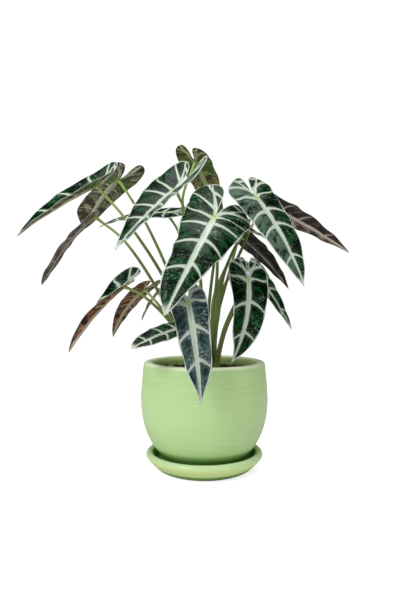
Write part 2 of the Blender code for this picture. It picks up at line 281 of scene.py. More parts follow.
def turned(name, outline):
    """A closed shape about Z through the (radius, height) points, from its base to its inner floor."""
    alone()
    radius, height = outline[0]
    bpy.ops.mesh.primitive_circle_add(
        vertices=TURNED_SIDES, radius=radius, location=(0.0, 0.0, height), fill_type="NGON")
    piece = named(name)
    bpy.ops.object.mode_set(mode="EDIT")
    bpy.ops.mesh.select_all(action="SELECT")
    for (r0, z0), (r1, z1) in zip(outline, outline[1:]):
        bpy.ops.mesh.extrude_region_move(TRANSFORM_OT_translate={"value": (0.0, 0.0, z1 - z0)})
        share = r1 / r0
        bpy.ops.transform.resize(value=(share, share, 1.0), center_override=(0.0, 0.0, z1))
    bpy.ops.mesh.select_all(action="SELECT")
    bpy.ops.mesh.normals_make_consistent(inside=False)
    bpy.ops.object.mode_set(mode="OBJECT")
    bpy.ops.object.transform_apply(location=True, rotation=True, scale=True)
    bpy.ops.object.shade_smooth_by_angle(angle=math.radians(40.0))
    return piece


def bezier(a, b, c, d, t):
    s = 1.0 - t
    return s * s * s * a + 3.0 * s * s * t * b + 3.0 * s * t * t * c + t * t * t * d


def rounded(points, steps):
    """A smooth curve through the points, with the given number of steps between each two."""
    points = [Vector(point) for point in points]
    curve = []
    for i in range(len(points) - 1):
        before = points[max(i - 1, 0)]
        a, d = points[i], points[i + 1]
        after = points[min(i + 2, len(points) - 1)]
        reach = (d - a).length / 3.0
        b, c = a + (d - before).normalized() * reach, d - (after - a).normalized() * reach
        curve += [bezier(a, b, c, d, k / steps) for k in range(steps)]
    return curve + [points[-1]]


# %% Pot and saucer
pot_low, pot_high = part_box("pot")
saucer_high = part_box("saucer")[1]
pot_foot = pot_low.z
pot_top = pot_high.z
SAUCER_HEIGHT = 0.0225

outside = rounded([
    (0.0452, pot_foot + 0.0004), (0.0550, 0.0188), (0.0642, 0.0303), (0.0723, 0.0455),
    (0.0777, 0.0640), (0.0798, 0.0840), (0.0791, 0.1020), (0.0779, 0.1160), (0.0768, 0.1275)], 5)
rim = rounded([
    (0.0768, 0.1275), (0.0757, 0.1322), (0.0712, pot_top), (0.0664, 0.1326), (0.0648, 0.1285)], 5)
inside = rounded([(0.0648, 0.1285), (0.0660, 0.1200), (0.0674, 0.1100), (0.0680, 0.1000)], 3)
pot_outline = [(0.0440, pot_foot), *outside[:-1], *rim[:-1], *inside, (0.0400, 0.0985)]
pot = turned("glazed_pot", [tuple(point) for point in pot_outline])
print("pot", [round(v, 4) for v in pot.dimensions], "frame", [round(v, 4) for v in pot_high - pot_low])

dish = rounded([
    (0.0545, 0.0), (0.0590, 0.0022), (0.0640, 0.0066), (0.0692, 0.0120),
    (0.0724, SAUCER_HEIGHT - 0.0066), (saucer_high.x, SAUCER_HEIGHT - 0.0042),
    (0.0714, SAUCER_HEIGHT - 0.0008), (0.0684, SAUCER_HEIGHT), (0.0650, SAUCER_HEIGHT - 0.0016),
    (0.0636, SAUCER_HEIGHT - 0.0052), (0.0622, 0.0110), (0.0590, 0.0086), (0.0540, 0.0085)], 4)
saucer_outline = [(0.0535, 0.0), *dish, (0.03, 0.0085)]
saucer = turned("glazed_saucer", [tuple(point) for point in saucer_outline])
print("saucer", [round(v, 4) for v in saucer.dimensions])


# %% [markdown]
# ## Satin glaze
#
# The glaze is a pale spring green with a soft shine.  The thrower's fingers left faint level bands,
# and the glaze lies a little thicker and deeper in colour between them.  Bands are noise that is
# stretched: it changes fast with height and slowly around.
#
# Light and shade are painted into the glaze's colour too, zone by zone: a painted highlight, near
# white, on the lips of pot and saucer, painted light on the saucer's leaning side and on the wall
# inside the mouth, and painted shade, dark green, where the pot stands in its saucer.  Each of these
# zones is the product of a height mask and a radius mask.

# %% Satin glaze
glaze, g, glaze_shader = finish("satin green glaze", 0.38)
place = g.add("TexCoord").outputs["Object"]
banded = g.add("Mapping", {"Vector": place, "Scale": (6.0, 6.0, 120.0)}).outputs["Vector"]
bands = g.noise(banded, 2.2, detail=3.0)
cloudy = g.noise(place, 28.0, detail=2.0)
speckle = g.noise(place, 900.0, detail=1.0)
tone = g.blend(g.mask(bands, 0.32, 0.70), shade(188, 223, 150), shade(196, 228, 163))
tone = g.blend(g.mask(cloudy, 0.35, 0.75), tone, shade(192, 226, 156))
tone = g.blend(g.maths("MULTIPLY", g.mask(speckle, 0.62, 0.75), 0.25), tone, shade(168, 200, 138))
parts = g.add("SeparateXYZ", {"Vector": place}).outputs
radius = g.maths("SQRT", g.maths("ADD", g.maths("MULTIPLY", parts["X"], parts["X"]),
                                 g.maths("MULTIPLY", parts["Y"], parts["Y"])))


def glazed_zone(tone, heights, radii, amount, colour):
    """Blends a colour in where height and radius have passed from the first to the second number."""
    zone = g.maths("MULTIPLY", g.mask(parts["Z"], *heights), g.mask(radius, *radii))
    if amount < 1.0:
        zone = g.maths("MULTIPLY", zone, amount)
    return g.blend(zone, tone, colour)


# painted highlight: the pot's lip, lit from above, is painted near white
tone = glazed_zone(tone, (0.1296, 0.1332), (0.0644, 0.0662), 1.0, shade(240, 253, 214))
# painted highlight on the saucer's lip
saucer_lip_highlight = g.maths("MULTIPLY", g.mask(parts["Z"], 0.0150, 0.0215), g.mask(radius, 0.0640, 0.0665))
saucer_lip_highlight = g.maths("MULTIPLY", saucer_lip_highlight, g.mask(parts["Z"], 0.0260, 0.0235))
tone = g.blend(g.maths("MULTIPLY", saucer_lip_highlight, 0.35), tone, shade(222, 240, 200))
# painted light: the saucer's leaning side faces down, away from the lamps, and is painted paler and
# yellower
tone = glazed_zone(tone, (0.0200, 0.0160), (0.0540, 0.0560), 1.0, shade(232, 255, 172))
# painted light: the wall inside the mouth lies in shade and is painted lighter
tone = glazed_zone(tone, (0.1000, 0.1100), (0.0672, 0.0652), 0.70, shade(198, 230, 130))
# painted shade: dark green low on the pot and in the saucer, where the pot stands in it
tone = glazed_zone(tone, (0.0400, 0.0170), (0.0650, 0.0630), 0.85, shade(84, 150, 34))
relief = g.maths("ADD", bands, g.maths("MULTIPLY", cloudy, 0.25))
bump = g.add("Bump", {"Height": relief, "Strength": 0.16, "Distance": 0.0012}).outputs["Normal"]
satin = g.add("MapRange", {"Value": cloudy, "To Min": 0.30, "To Max": 0.46}).outputs[0]
feed(g, glaze_shader, Base_Color=tone, Normal=bump, Roughness=satin)
glaze_shader.inputs["Coat Weight"].default_value = 0.15
glaze_shader.inputs["Coat Roughness"].default_value = 0.25
for piece, node in ((pot, "pot"), (saucer, "saucer")):
    piece.data.materials.append(glaze)
    kept(piece, "glaze", node)


# %% [markdown]
# ## Potting mix
#
# Peaty mix with crumbs and white perlite fills the pot to just under its rim.  A disc with raised
# lumps gives the surface, and a few hundred small crumbs lie on it.  They are one twenty-sided
# stone, copied, squashed and turned, so they cost little.

# %% The mix's surface
mix_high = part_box("potting_mix")[1]
MIX_RADIUS = 0.0676
MIX_RINGS = 46
surface = [(MIX_RADIUS * (1.0 - k / MIX_RINGS), mix_high.z) for k in range(MIX_RINGS)]
mix = turned("potting_mix_top", [(0.060, 0.1075), (MIX_RADIUS, 0.1085), *surface])
for vertex in mix.data.vertices:
    if vertex.co.z > mix_high.z - 0.001:
        radius = math.hypot(vertex.co.x, vertex.co.y)
        inward = 1.0 - (radius / MIX_RADIUS) ** 6
        low = noise.noise(vertex.co * 60.0) * 0.0016
        fine = noise.noise(vertex.co * 260.0) * 0.0011
        mound = 0.0016 * math.exp(-(radius / 0.03) ** 2)
        vertex.co.z += (low + fine + mound) * inward - 0.0012

# %% Crumbs and perlite
alone()
bpy.ops.mesh.primitive_ico_sphere_add(subdivisions=1, radius=1.0, location=(0.0, 0.0, 0.0))
stone = named("crumb")


def scattered(name, number, sizes, seed):
    """Copies of the stone on the mix, joined to one piece."""
    chance = random.Random(seed)
    copies = []
    for k in range(number):
        radius = 0.064 * math.sqrt(chance.uniform(0.06, 1.0))
        turn = chance.uniform(0.0, 2.0 * math.pi)
        size = chance.uniform(*sizes)
        height = mix_high.z + 0.25 * size - 0.0004
        spot = Vector((radius * math.cos(turn), radius * math.sin(turn), height))
        squash = Vector([size * chance.uniform(0.6, 1.2) for axis in range(3)])
        tumble = Euler([chance.uniform(0.0, math.pi) for axis in range(3)])
        copy = bpy.data.objects.new(name, stone.data.copy())
        bpy.context.collection.objects.link(copy)
        copy.data.transform(Matrix.LocRotScale(spot, tumble, squash))
        copies.append(copy)
    alone(copies[0])
    for copy in copies:
        copy.select_set(True)
    bpy.ops.object.join()
    bpy.ops.object.shade_smooth_by_angle(angle=math.radians(30.0))
    return named(name)


crumbs = scattered("mix_crumbs", 420, (0.0007, 0.0022), 11)
perlite = scattered("perlite", 90, (0.0006, 0.0013), 12)
bpy.data.objects.remove(stone, do_unlink=True)


# %% Damp peat and perlite finishes
peat, p, peat_shader = finish("damp peat", 0.85)
place = p.add("TexCoord").outputs["Object"]
coarse = p.noise(place, 160.0, detail=4.0)
grains = p.noise(place, 900.0, detail=2.0)
tone = p.blend(p.mask(coarse, 0.35, 0.7), shade(30, 22, 17), shade(66, 49, 36))
tone = p.blend(p.mask(grains, 0.60, 0.72), tone, shade(96, 76, 58))
height = p.maths("ADD", coarse, p.maths("MULTIPLY", grains, 0.5))
bump = p.add("Bump", {"Height": height, "Strength": 0.8, "Distance": 0.0015}).outputs["Normal"]
feed(p, peat_shader, Base_Color=tone, Normal=bump)

white, w, white_shader = finish("perlite", 0.75)
place = w.add("TexCoord").outputs["Object"]
pores = w.noise(place, 1400.0, detail=2.0)
tone = w.blend(w.mask(pores, 0.35, 0.65), shade(196, 190, 178), shade(240, 238, 230))
bump = w.add("Bump", {"Height": pores, "Strength": 0.5, "Distance": 0.0004}).outputs["Normal"]
feed(w, white_shader, Base_Color=tone, Normal=bump)

for piece, material in ((mix, peat), (crumbs, peat), (perlite, white)):
    piece.data.materials.clear()
    piece.data.materials.append(material)
kept(mix, "mix", "potting_mix")
kept(crumbs, "mix")
kept(perlite, "mix")


# %% [markdown]
# ## The plant's plan
#
# Each leaf has a row of numbers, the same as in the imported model: where its stalk meets the blade,
# where its tip hangs, which way its top faces, and how it is folded and curled.  Parts of a length
# are given as parts of the blade's length from the junction to the tip.
#
# - `junction`, `tip`, `up`: two places in metres, and the way the top side faces
# - `width`, `lobe`: half the width, and each rear lobe's reach and spread, right then left
# - `fold`, `arch`: how each half rises from the midrib and curls down; `droop`: how the midrib turns
#   down; `lift`: how the rear lobes turn up, all in degrees
# - `edge`: each half's width at four places on the way to the tip; `round_end`: how blunt a lobe is
# - `sway`: how far the midrib bows to the side; `twist`: the roll from junction to tip in degrees;
#   `hook`: how far the tip turns aside
# - `base`, `via`: where the stalk starts and what it passes
# - `veins`: the number of side veins on each half, and how much they crowd at the junction;
#   `wave`: how strongly the margin waves
# - `bulge`, `sheath`: where and how much a sheath swells the stalk, and how far its foot is broad
# - `top`, `under`: the finish of each side
#
# What most leaves share is said once, in `PLAIN`.

# %% The plant's plan
LEAVES = {
    "far_left_high": dict(
        junction=(-0.133, -0.020, 0.351), tip=(-0.217, -0.060, 0.284), up=(-0.35, 0.00, 0.93),
        width=(0.21, 0.19), lobe=((0.36, 0.12), (0.20, 0.14)), fold=(55, 8), droop=12, arch=10, lift=10,
        base=(-0.014, -0.004), via=[(-0.044, -0.008, 0.225), (-0.098, -0.015, 0.311)],
        veins=(3.0, 0.4), under="bronze"),
    "left_back_high": dict(
        junction=(-0.115, 0.045, 0.373), tip=(-0.179, 0.130, 0.319), up=(-0.05, 0.80, 0.60),
        width=(0.17, 0.205), lobe=((0.38, 0.06), (0.27, 0.13)), fold=(14, 10), droop=30, arch=20, lift=10,
        edge=((0.90, 0.70, 0.42, 0.16), (0.72, 0.85, 0.86, 0.46)), sway=-0.03,
        base=(-0.012, 0.008), via=[(-0.034, 0.014, 0.215), (-0.075, 0.035, 0.308)],
        under="bronze"),
    "left_narrow": dict(
        junction=(-0.141, 0.008, 0.318), tip=(-0.201, -0.015, 0.228), up=(-0.85, -0.06, 0.55),
        width=(0.15, 0.15), lobe=((0.07, 0.07), (0.07, 0.07)), fold=(10, 10), droop=26, arch=12,
        edge=((1.20, 1.40, 1.20, 0.60), (1.20, 1.40, 1.20, 0.60)), hook=-0.05,
        base=(-0.017, 0.002), via=[(-0.055, 0.004, 0.215), (-0.101, 0.006, 0.285)],
        under="plum"),
    "upper_left": dict(
        junction=(-0.036, -0.010, 0.349), tip=(-0.101, -0.080, 0.266), up=(-0.50, -0.62, 0.60),
        width=(0.27, 0.165), lobe=((0.40, 0.07), (0.43, 0.20)), fold=(32, 16), droop=15, arch=10, lift=13,
        edge=((0.800, 0.520, 0.235, 0.070), (1.000, 0.850, 0.600, 0.250)), round_end=0.5, sway=-0.03,
        base=(-0.004, -0.006), via=[(-0.004, -0.009, 0.225), (-0.016, -0.010, 0.300)],
        veins=(4.5, 0.4), top="silver and sheen left"),
    "top_back": dict(
        junction=(-0.012, 0.050, 0.399), tip=(0.028, 0.130, 0.314), up=(0.28, 0.78, 0.56),
        width=(0.19, 0.20), lobe=((0.18, 0.09), (0.24, 0.09)), fold=(5, 20), droop=25, arch=20,
        base=(-0.003, 0.008), via=[(-0.016, 0.024, 0.245), (-0.029, 0.045, 0.345)],
        under="olive"),
    "centre_front": dict(
        junction=(0.012, -0.060, 0.307), tip=(-0.042, -0.130, 0.194), up=(0.05, -0.80, 0.60),
        width=(0.26, 0.26), lobe=((0.42, 0.15), (0.22, 0.20)), fold=(6, 2), droop=35, arch=25, lift=8,
        edge=((0.76, 0.62, 0.45, 0.15), (0.80, 0.49, 0.24, 0.09)), round_end=0.9, sway=-0.015,
        base=(0.005, -0.010), via=[(0.009, -0.022, 0.185), (0.015, -0.044, 0.245)],
        veins=(4.0, 0.15), wave=1.0),
    "left_level": dict(
        junction=(-0.053, 0.070, 0.333), tip=(-0.156, 0.110, 0.318), up=(0.00, -0.40, 0.90),
        width=(0.22, 0.22), lobe=((0.28, 0.12), (0.28, 0.12)), fold=(10, 5), droop=22, arch=15,
        base=(-0.004, 0.014), via=[(-0.018, 0.036, 0.240), (-0.036, 0.060, 0.306)]),
    "right_high": dict(
        junction=(0.061, -0.030, 0.337), tip=(0.115, -0.060, 0.226), up=(0.40, -0.75, 0.50),
        width=(0.26, 0.22), lobe=((0.22, 0.11), (0.19, 0.155)), fold=(6, 12), droop=20, arch=15,
        edge=((0.88, 0.66, 0.36, 0.12), (0.90, 0.72, 0.36, 0.08)), round_end=0.95, sway=-0.01,
        base=(0.012, -0.004),
        via=[(0.016, -0.014, 0.215), (0.033, -0.020, 0.266), (0.054, -0.025, 0.305)],
        bulge=(0.38, 0.20, 1.10), sheath=0.62, top="silver and sheen right"),
    "right_back_high": dict(
        junction=(0.078, 0.040, 0.341), tip=(0.198, 0.050, 0.275), up=(0.40, 0.40, 0.82),
        width=(0.18, 0.17), lobe=((0.12, 0.12), (0.30, 0.10)), fold=(15, 10), droop=12, arch=15,
        base=(0.011, 0.005), via=[(0.018, 0.004, 0.205), (0.052, 0.004, 0.285)],
        under="striped"),
    "right_dark": dict(
        junction=(0.047, 0.030, 0.297), tip=(0.117, 0.060, 0.226), up=(0.42, 0.45, 0.78),
        width=(0.17, 0.17), lobe=((0.20, 0.11), (0.20, 0.11)), fold=(15, 5), droop=25, arch=15,
        base=(0.004, 0.012), via=[(0.013, 0.018, 0.175), (0.031, 0.026, 0.240)],
        under="black"),
    "right_small": dict(
        junction=(0.022, 0.000, 0.307), tip=(0.080, 0.000, 0.288), up=(0.10, -0.35, 0.93),
        width=(0.20, 0.20), lobe=((0.26, 0.12), (0.26, 0.12)), fold=(20, 20), droop=25, arch=10,
        base=(0.004, 0.001), via=[(0.005, 0.001, 0.190), (0.012, 0.001, 0.255)]),
    "right_low": dict(
        junction=(0.051, -0.055, 0.236), tip=(0.030, -0.060, 0.137), up=(0.10, -0.90, 0.42),
        width=(0.23, 0.23), lobe=((0.21, 0.11), (0.21, 0.105)), fold=(15, 5), droop=22, arch=20,
        edge=((0.74, 0.57, 0.18, 0.04), (0.90, 0.77, 0.40, 0.09)), round_end=0.8, sway=-0.065,
        base=(0.015, -0.009), via=[(0.024, -0.024, 0.175), (0.038, -0.038, 0.209)],
        veins=(2.9, 0.58), wave=1.2),
    "right_low_back": dict(
        junction=(0.062, 0.000, 0.251), tip=(0.111, 0.000, 0.173), up=(0.62, -0.62, 0.48),
        width=(0.20, 0.20), lobe=((0.12, 0.12), (0.12, 0.12)), fold=(15, 15), droop=8, arch=15,
        base=(0.017, 0.001), via=[(0.028, 0.002, 0.175), (0.050, 0.002, 0.222)]),
    "front_low": dict(
        junction=(-0.018, -0.110, 0.210), tip=(-0.004, -0.110, 0.095), up=(0.00, -0.95, 0.30),
        width=(0.17, 0.175), lobe=((0.14, 0.10), (0.14, 0.10)), fold=(8, 8), droop=22, arch=20,
        edge=((0.84, 0.64, 0.20, 0.05), (0.86, 0.74, 0.26, 0.05)), sway=-0.014,
        base=(-0.003, -0.014), via=[(-0.004, -0.040, 0.158), (-0.014, -0.078, 0.186)],
        veins=(3.0, 0.5), wave=1.3, top="silver"),
    "left_low": dict(
        junction=(-0.098, -0.030, 0.227), tip=(-0.157, -0.060, 0.150), up=(-0.50, -0.60, 0.80),
        width=(0.19, 0.19), lobe=((0.30, 0.02), (0.12, 0.12)), fold=(30, 30), droop=20, arch=10,
        twist=-78,
        base=(-0.017, -0.010), via=[(-0.040, -0.016, 0.180), (-0.075, -0.025, 0.216)],
        under="russet"),
    "left_low_back": dict(
        junction=(-0.080, 0.040, 0.225), tip=(-0.129, 0.080, 0.158), up=(-0.50, 0.50, 0.70),
        width=(0.19, 0.19), lobe=((0.22, 0.10), (0.18, 0.10)), fold=(15, 15), droop=25, arch=15,
        sway=-0.04,
        base=(-0.015, 0.014), via=[(-0.036, 0.022, 0.172), (-0.062, 0.034, 0.206)],
        under="russet"),
    "left_sliver": dict(
        junction=(-0.045, 0.070, 0.241), tip=(-0.093, 0.120, 0.180), up=(-0.70, -0.05, 0.70),
        width=(0.17, 0.17), lobe=((0.22, 0.12), (0.22, 0.12)), fold=(10, 10), droop=25, arch=15,
        base=(-0.010, 0.019), via=[(-0.018, 0.032, 0.175), (-0.034, 0.056, 0.222)]),
    "left_bottom": dict(
        junction=(-0.024, -0.045, 0.178), tip=(-0.081, -0.090, 0.157), up=(-0.15, -0.65, 0.75),
        width=(0.21, 0.21), lobe=((0.18, 0.10), (0.18, 0.10)), fold=(12, 12), droop=20, arch=15,
        edge=((1.00, 0.90, 0.62, 0.34), (1.00, 0.88, 0.55, 0.30)),
        base=(-0.010, -0.012), via=[(-0.017, -0.022, 0.158)]),
}
EDGE = (0.90, 0.64, 0.32, 0.12)
PLAIN = dict(edge=(EDGE, EDGE), round_end=0.6, sway=0.0, twist=0.0, hook=0.0, lift=5, veins=(3.75, 0.28),
             wave=0.5, bulge=(0.5, 0.1, 0.0), sheath=0.22, top="deep", under="bronze")
LEAVES = {name: {**PLAIN, **leaf} for name, leaf in LEAVES.items()}
print("leaves in the plan:", len(LEAVES))


# %% [markdown]
# ## The flat outline of a blade
#
# An alocasia blade is an arrowhead: two rear lobes, a notch between them that almost reaches the
# stalk, widest just past the junction, then a long taper to a thin drip tip.  We lay it out flat
# first.  Four curves bound each half: the outer edge of the lobe, the long front edge, the edge of
# the notch, and the lobe's own rib.  A point is found by how far it is along the ribs (`u`, from -1
# at the lobe's end to 1 at the tip) and how far out from the rib (`v`, 0 to 1).

# %% The flat outline
SINUS = 0.035
SHOULDER = 0.08
EDGE_HEIGHTS = (SHOULDER, 0.345, 0.61, 0.836, 0.95, 1.0)
ROW_BOW = 0.12
LIFT_REACH = 0.30
HOOK_START = 0.7


def curve_at(points, t):
    """A Bezier curve's points at many t."""
    a, b, c, d = (np.array(point) for point in points)
    t = t[:, None]
    s = 1.0 - t
    return s ** 3 * a + 3.0 * s * s * t * b + 3.0 * s * t * t * c + t ** 3 * d


def outline(width, lobe, edge, round_end):
    """The curves that bound one half: three with four handles, and the front edge as points."""
    reach, spread = lobe
    rear = Vector((spread, -reach))
    across = Vector((reach, spread)).normalized() * round_end * width
    shoulder = Vector((width, SHOULDER))
    margin = [(width * share, height) for share, height in zip((1.0, *edge, 0.0), EDGE_HEIGHTS)]
    return {
        "back": [rear, rear + across, Vector((width, SHOULDER - 0.7 * reach)), shoulder],
        "front": np.array(rounded(margin, 12)),
        "notch": [rear, rear - across * 0.8, Vector((0.02, -0.4 * reach)), Vector((0.0, -SINUS))],
        "rib": [rear, rear * 0.7, Vector((0.25 * spread, -0.4 * reach)), Vector((0.0, 0.0))],
    }


def flat_outer(curves, u, v, ripple):
    """Flat places of the part between the ribs and the outer edge."""
    lobe_t = np.clip(1.0 + u, 0.0, 1.0)
    front_u = np.clip(u, 0.0, 1.0)
    height = SHOULDER + (1.0 - SHOULDER) * np.minimum(1.0, front_u + 0.22 * front_u * (1.0 - front_u))
    front = curves["front"]
    on_edge = np.stack([np.interp(height, front[:, 1], front[:, 0]), height], axis=1)
    on_lobe = (u < 0.0)[:, None]
    midrib = np.stack([np.zeros_like(u), front_u], axis=1)
    start = np.where(on_lobe, curve_at(curves["rib"], lobe_t), midrib)
    end = np.where(on_lobe, curve_at(curves["back"], lobe_t), on_edge)
    span = end - start
    share = (v * (1.0 + ripple * v * v))[:, None]
    flat = start + span * share
    flat[:, 1] -= 4.0 * ROW_BOW * np.linalg.norm(span, axis=1) * v * (1.0 - v)
    return flat


def flat_inner(curves, u, v):
    """Flat places of the part between a lobe's rib and the notch."""
    lobe_t = np.clip(1.0 + u, 0.0, 1.0)
    start, end = curve_at(curves["rib"], lobe_t), curve_at(curves["notch"], lobe_t)
    return start + (end - start) * v[:, None]


def distance(points, line):
    """How far each flat point is from a line of points."""
    a, b = line[:-1][None], line[1:][None]
    step = b - a
    share = ((points[:, None] - a) * step).sum(2) / np.maximum((step * step).sum(2), 1e-12)
    foot = a + step * np.clip(share, 0.0, 1.0)[:, :, None]
    return np.linalg.norm(points[:, None] - foot, axis=2).min(1)


# %% [markdown]
# ## Bending a blade
#
# A flat blade is bent in many ways: each half folds up from the midrib and arches down again, the
# blade rolls and droops towards the tip, the midrib bows aside, and the rear lobes lift.  The side
# veins pull the surface in and it swells between them, like a quilt, and the edge waves; that is the
# `relief`.  The bend operator needs a window, so the bend is worked out for every point at once.

# %% Bending a blade
def bent(x, y, relief, side, leaf):
    """Where flat points go; relief lifts them off the surface."""
    half = 0 if side > 0 else 1
    fold = math.radians(leaf["fold"][half])
    arch = math.radians(leaf["arch"]) / leaf["width"][half]
    slope = fold - arch * x
    across = side * (math.sin(fold) - np.sin(slope)) / arch - side * relief * np.sin(slope)
    across = across + leaf["sway"] * 4.0 * y * (1.0 - np.maximum(y, 0.0))
    rise = (np.cos(slope) - math.cos(fold)) / arch + relief * np.cos(slope)
    roll = math.radians(leaf["twist"]) * y
    across, rise = (across * np.cos(roll) - rise * np.sin(roll),
                    across * np.sin(roll) + rise * np.cos(roll))
    turn = math.radians(leaf["droop"])
    along = np.sin(turn * y) / turn + rise * np.sin(turn * y)
    height = (np.cos(turn * y) - 1.0) / turn + rise * np.cos(turn * y)
    height = height + math.radians(leaf["lift"]) * np.minimum(y, 0.0) ** 2 / LIFT_REACH
    across = across + leaf["hook"] * np.clip((y - HOOK_START) / (1.0 - HOOK_START), 0.0, 2.0) ** 2
    return np.stack([across, along, height], axis=-1)


def blade_turn(leaf):
    """The turn and scale that bring a bent blade to its junction and tip."""
    junction, tip, up = (Vector(leaf[key]) for key in ("junction", "tip", "up"))
    straight = {**leaf, "hook": 0.0}
    reach = Vector(bent(np.zeros(1), np.ones(1), np.zeros(1), 1, straight)[0])
    chord = (tip - junction).normalized()
    side = chord.cross(up).normalized()
    top = side.cross(chord)
    pitch = math.atan2(reach.z, reach.y)
    along = chord * math.cos(pitch) - top * math.sin(pitch)
    normal = top * math.cos(pitch) + chord * math.sin(pitch)
    scale = (tip - junction).length / reach.length
    return np.array((side, along, normal)).T * scale, np.array(junction), scale, normal


# %% [markdown]
# ## One half of a blade
#
# Each half is two grids: one out to the edge, and a small one between the lobe's rib and the notch.
# A grid primitive has its own even places, and those are the `u` and `v` of the outline.  Beside its
# shape, every point keeps the numbers that the finish needs, as mesh attributes:
#
# - `rib`: distance from the nearest rib, where 1 is the rib's edge
# - `phase`, `gap`: side veins lie where the phase is whole; gap is the spacing in vein half-widths
# - `edge`: distance from the margin in millimetres; `along`, `out`: the place as `u` and `v`
# - `half`: one on the right half, nought on the left

# %% One half of a blade
MARKS = ("rib", "phase", "gap", "edge", "along", "out", "half")
LOBE_PART = 0.36
VEIN_STARTS = (0.05, 0.02)
QUILT = 0.012


def vein_phase(u, leaf, start):
    """Counts the side veins along a rib: close together at the junction, wider apart to the tip."""
    count, crowd = leaf["veins"]
    u = u + 0.022 * np.sin(15.0 * u + 40.0 * leaf["junction"][0] + 1.3 * start) * smoothstep(0.0, 0.2, u)
    steep = count / math.log(1.0 + 1.0 / crowd)
    ahead = np.maximum(u - start, 0.0)
    first = (np.clip(u, 0.0, start) - start) * steep / crowd
    return steep * np.log(1.0 + ahead / crowd) + first + 1.9 * np.minimum(u, 0.0)


def patch(leaf, side, outer, columns, rows):
    """One grid of a blade half, in its place, with its marks."""
    alone()
    bpy.ops.mesh.primitive_grid_add(
        x_subdivisions=columns, y_subdivisions=rows, size=1.0, location=(0.0, 0.0, 0.0))
    piece = bpy.context.object
    count = len(piece.data.vertices)
    places = np.zeros(count * 3)
    piece.data.vertices.foreach_get("co", places)
    places = places.reshape(-1, 3)
    v = np.clip(places[:, 0] + 0.5, 0.0, 1.0)
    share = np.clip(places[:, 1] + 0.5, 0.0, 1.0)
    u = share - 1.0
    if outer:
        u = share * (1.0 + LOBE_PART) - LOBE_PART
        u = np.where(u < 0.0, u / LOBE_PART, u)
    half = 0 if side > 0 else 1
    start = VEIN_STARTS[half]
    curves = outline(leaf["width"][half], leaf["lobe"][half], leaf["edge"][half], leaf["round_end"])
    turn, junction, scale = blade_turn(leaf)[:3]

    def shaped(u, v):
        slant = 0.38 * smoothstep(0.25, -0.5, u) if outer else -0.3
        phase = vein_phase(u + slant * v, leaf, start)
        calm = smoothstep(1.0, 0.75, u) * smoothstep(-0.7, 0.1, u)
        quilt = smoothstep(1.0, 0.8, u) * smoothstep(-1.0, -0.6, u)
        ripple = 0.03 * leaf["wave"] * np.cos(2.0 * math.pi * phase) * calm
        flat = flat_outer(curves, u, v, ripple) if outer else flat_inner(curves, u, v)
        swell = np.sin(math.pi * phase) ** 2 * np.sin(math.pi * np.clip(v, 0.0, 1.0)) ** 0.8
        wave = v * v * np.sin(2.0 * math.pi * (phase + 0.2 * side))
        relief = QUILT * (swell * quilt + leaf["wave"] * wave * calm)
        return phase, flat, relief if outer else 0.4 * relief

    phase, flat, relief = shaped(u, v)
    line = np.linspace(0.0, 1.0, 60)
    midrib = np.stack([np.zeros(60), line], axis=1)
    to_midrib = distance(flat, midrib) * scale
    to_lobe_rib = distance(flat, curve_at(curves["rib"], line)) * scale
    size = (scale / 0.13) ** 0.5
    mid_reach = 0.0039 * size * (1.0 - 0.72 * np.clip(flat[:, 1], 0.0, 1.0) ** 1.6)
    mid_reach = mid_reach * (0.72 + 0.28 * smoothstep(0.0, 0.18, flat[:, 1]))
    lobe_reach = 0.0024 * size * (0.25 + 0.75 * smoothstep(-1.0, -0.1, np.minimum(u, 0.0)))
    rib = np.minimum(to_midrib / mid_reach, to_lobe_rib / lobe_reach)
    margins = [flat_outer(curves, np.linspace(-1.0, 1.0, 160), np.ones(160), np.zeros(160)),
               curve_at(curves["notch"], line)]
    edge = np.minimum(distance(flat, margins[0]), distance(flat, margins[1])) * scale * 1000.0
    step = 0.01
    low, high = shaped(np.clip(u - step, -1.0, 1.0), v), shaped(np.clip(u + step, -1.0, 1.0), v)
    ahead = high[1] - low[1]
    outward = shaped(u, v + step)[1] - shaped(u, v - step)[1]
    area = np.abs(ahead[:, 0] * outward[:, 1] - ahead[:, 1] * outward[:, 0])
    between = area / np.maximum(np.linalg.norm(outward, axis=1), 1e-9)
    spacing = between / np.maximum(np.abs(high[0] - low[0]), 1e-9) * scale
    vein_half = 0.0027 * size * (1.0 - 0.62 * v) * (1.0 + 0.7 * np.exp(-8.0 * v))
    vein_half = vein_half * smoothstep(1.02, 0.86, v)
    gap = np.clip(spacing / np.maximum(vein_half, 0.0002), 1.0, 60.0)
    gap = gap / (1.0 - 0.35 * np.clip(u, 0.0, 1.0))
    cup = -0.0012 * np.exp(-(rib ** 2)) * smoothstep(1.0, 0.8, u)
    places = bent(flat[:, 0], flat[:, 1], relief + cup, side, leaf) @ turn.T + junction
    piece.data.vertices.foreach_set("co", places.astype(np.float32).ravel())
    on_right = np.full(count, 1.0 - half)
    for name, values in zip(MARKS, (rib, phase, gap, edge, u, v, on_right)):
        attribute = piece.data.attributes.new(name, "FLOAT", "POINT")
        attribute.data.foreach_set("value", values.astype(np.float32))
    return piece


# %% [markdown]
# ## A whole blade
#
# The four grids are joined and their shared edges merged.  Solidify gives the blade its thickness,
# and a vertex group makes it thick under the ribs and thin between them, so the underside has the
# raised ribs that a real leaf has.  The underside takes its own material from the same modifier.

# %% A whole blade
BLADE_THICK = 0.0026


